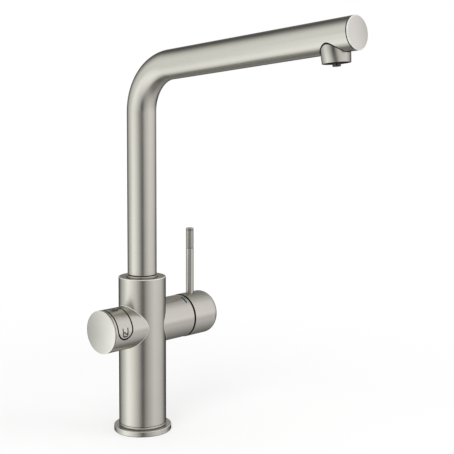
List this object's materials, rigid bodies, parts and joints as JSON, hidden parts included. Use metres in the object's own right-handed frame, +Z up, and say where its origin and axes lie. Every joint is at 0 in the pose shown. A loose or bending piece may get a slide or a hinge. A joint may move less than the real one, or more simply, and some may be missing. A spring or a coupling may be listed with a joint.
{
  "type": "kitchen mixer tap",
  "caption": "Upright kitchen mixer tap with a swivelling angled spout, a side mixing lever and a rocker control for filtered water.",
  "frame": {"origin": "on the body's axis at the worktop, in the plane of the base ring's underside", "axes": "+Z up along the body, -Y along the spout towards the user, +X towards the mixing lever"},
  "size_m": [0.1407, 0.2825, 0.3917],
  "materials": {
    "body_casting": "brushed warm grey stainless finish",
    "valve_body": "machined",
    "base_ring": "brushed warm grey stainless finish",
    "base_gasket": "matt",
    "body_seal": "matt",
    "cable_grommet": "matt",
    "slide_ring": "moulded",
    "stop_screw": "plain",
    "filter_coupling": "machined",
    "spout_tube": "brushed warm grey stainless finish",
    "spout_stem": "machined",
    "stem_seals": "matt",
    "filter_tube": "moulded",
    "spout_end_cap": "brushed warm grey stainless finish",
    "outlet_housing": "brushed warm grey stainless finish",
    "aerator_insert": "moulded, fine ring of jets",
    "aerator_washer": "matt",
    "filter_nozzle": "moulded",
    "cartridge_base": "moulded",
    "port_seals": "matt",
    "ceramic_seat_disc": "lapped",
    "ceramic_slide_disc": "lapped",
    "cartridge_shell": "moulded",
    "cartridge_carrier": "moulded",
    "spindle": "turned",
    "spindle_pin": "plain",
    "cartridge_nut": "machined",
    "gap_ring": "moulded",
    "lever_cap": "brushed warm grey stainless finish",
    "lever_rod": "brushed warm grey stainless finish",
    "lever_grip": "knurled",
    "cap_screw": "plain",
    "cold_mark": "filled line",
    "hot_mark": "filled line",
    "control_frame": "moulded",
    "control_board": "board",
    "board_screws": "plain",
    "switch_pads": "silicone",
    "rocker_button": "brushed warm grey stainless finish",
    "rocker_pin": "plain",
    "light_ring": "clear, unlit",
    "control_end_cap": "brushed warm grey stainless finish"
  },
  "bodies": {
    "tap_body": {"body_casting": "body_casting", "valve_body": "valve_body", "base_ring": "base_ring", "base_gasket": "base_gasket", "body_seal": "body_seal", "cable_grommet": "cable_grommet", "slide_ring": "slide_ring", "stop_screw": "stop_screw", "filter_coupling": "filter_coupling", "cartridge_base": "cartridge_base", "port_seals": "port_seals", "ceramic_seat_disc": "ceramic_seat_disc", "cartridge_shell": "cartridge_shell", "cartridge_nut": "cartridge_nut", "gap_ring": "gap_ring", "cold_mark": "cold_mark", "hot_mark": "hot_mark", "control_frame": "control_frame", "control_board": "control_board", "board_screws": "board_screws", "switch_pads": "switch_pads", "rocker_pin": "rocker_pin", "light_ring": "light_ring", "control_end_cap": "control_end_cap"},
    "spout": {"spout_tube": "spout_tube", "spout_stem": "spout_stem", "stem_seals": "stem_seals", "filter_tube": "filter_tube", "spout_end_cap": "spout_end_cap", "outlet_housing": "outlet_housing", "aerator_insert": "aerator_insert", "aerator_washer": "aerator_washer", "filter_nozzle": "filter_nozzle"},
    "carrier": {"cartridge_carrier": "cartridge_carrier", "spindle_pin": "spindle_pin"},
    "lever": {"spindle": "spindle", "lever_cap": "lever_cap", "lever_rod": "lever_rod", "lever_grip": "lever_grip", "cap_screw": "cap_screw"},
    "slide_disc": {"ceramic_slide_disc": "ceramic_slide_disc"},
    "rocker": {"rocker_button": "rocker_button"}
  },
  "joints": [
    {"name": "spout_swivel", "type": "hinge", "parent": "tap_body", "child": "spout", "pos_m": [0, 0, 0.14], "axis": [0, 0, 1], "range_deg": [-75, 75]},
    {"name": "lever_turn", "type": "hinge", "parent": "tap_body", "child": "carrier", "pos_m": [0.05, 0, 0.1048], "axis": [1, 0, 0], "range_deg": [-45, 45]},
    {"name": "lever_tilt", "type": "hinge", "parent": "carrier", "child": "lever", "pos_m": [0.0226, 0, 0.1048], "axis": [0, 1, 0], "range_deg": [0, 20]},
    {"name": "disc_slide", "type": "slide", "parent": "carrier", "child": "slide_disc", "axis": [0, 0, 1], "range_m": [0, 0.0021]},
    {"name": "rocker_tip", "type": "hinge", "parent": "tap_body", "child": "rocker", "pos_m": [-0.0396, -0.0118, 0.1164], "axis": [1, 0, 0], "range_deg": [-2.5, 2.5], "stiffness_Nm_per_rad": 0.3}
  ],
  "couplings": [
    {"joint": "disc_slide", "follows": "lever_tilt", "m_per_rad": 0.006}
  ]
}
